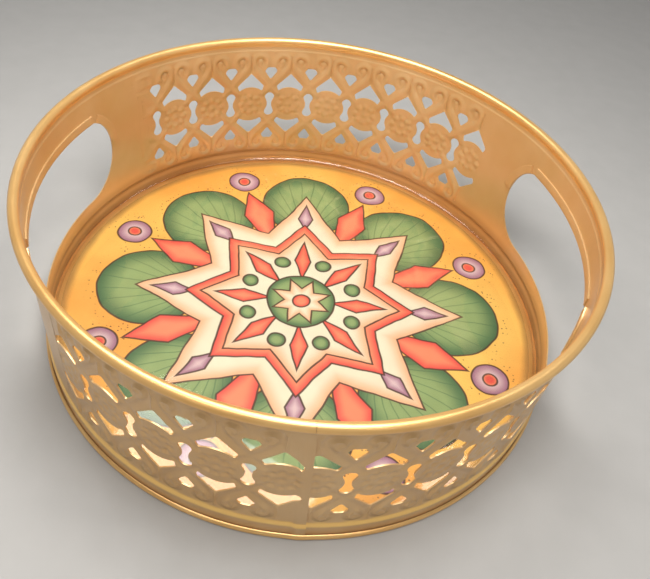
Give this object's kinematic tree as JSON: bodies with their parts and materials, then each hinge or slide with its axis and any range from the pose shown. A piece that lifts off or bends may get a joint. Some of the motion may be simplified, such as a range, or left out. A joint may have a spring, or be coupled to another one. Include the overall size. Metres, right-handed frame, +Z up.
{
  "type": "round serving tray",
  "caption": "Round metal tray with a tall pierced and embossed wall, a hand opening on each side, a rolled rim and a printed floor under a clear coat.",
  "frame": {"origin": "centre of the circle on which the tray stands, at table level", "axes": "+Z up along the tray's axis; +X through the middle of the right hand opening; the wall's lap seam is at the front, -Y"},
  "size_m": [0.2536, 0.254, 0.084],
  "materials": {
    "gold_paint": "semi-gloss gold coating on thin steel sheet",
    "rim_wire_steel": "plain drawn wire",
    "print": null,
    "clear_coat": "high-gloss clear resin, slightly uneven"
  },
  "bodies": {
    "root": {"wall_strip": "gold_paint", "rim_wire": "rim_wire_steel", "base_pan": "gold_paint", "printed_disc": "print", "clear_coat": "clear_coat"}
  },
  "joints": []
}
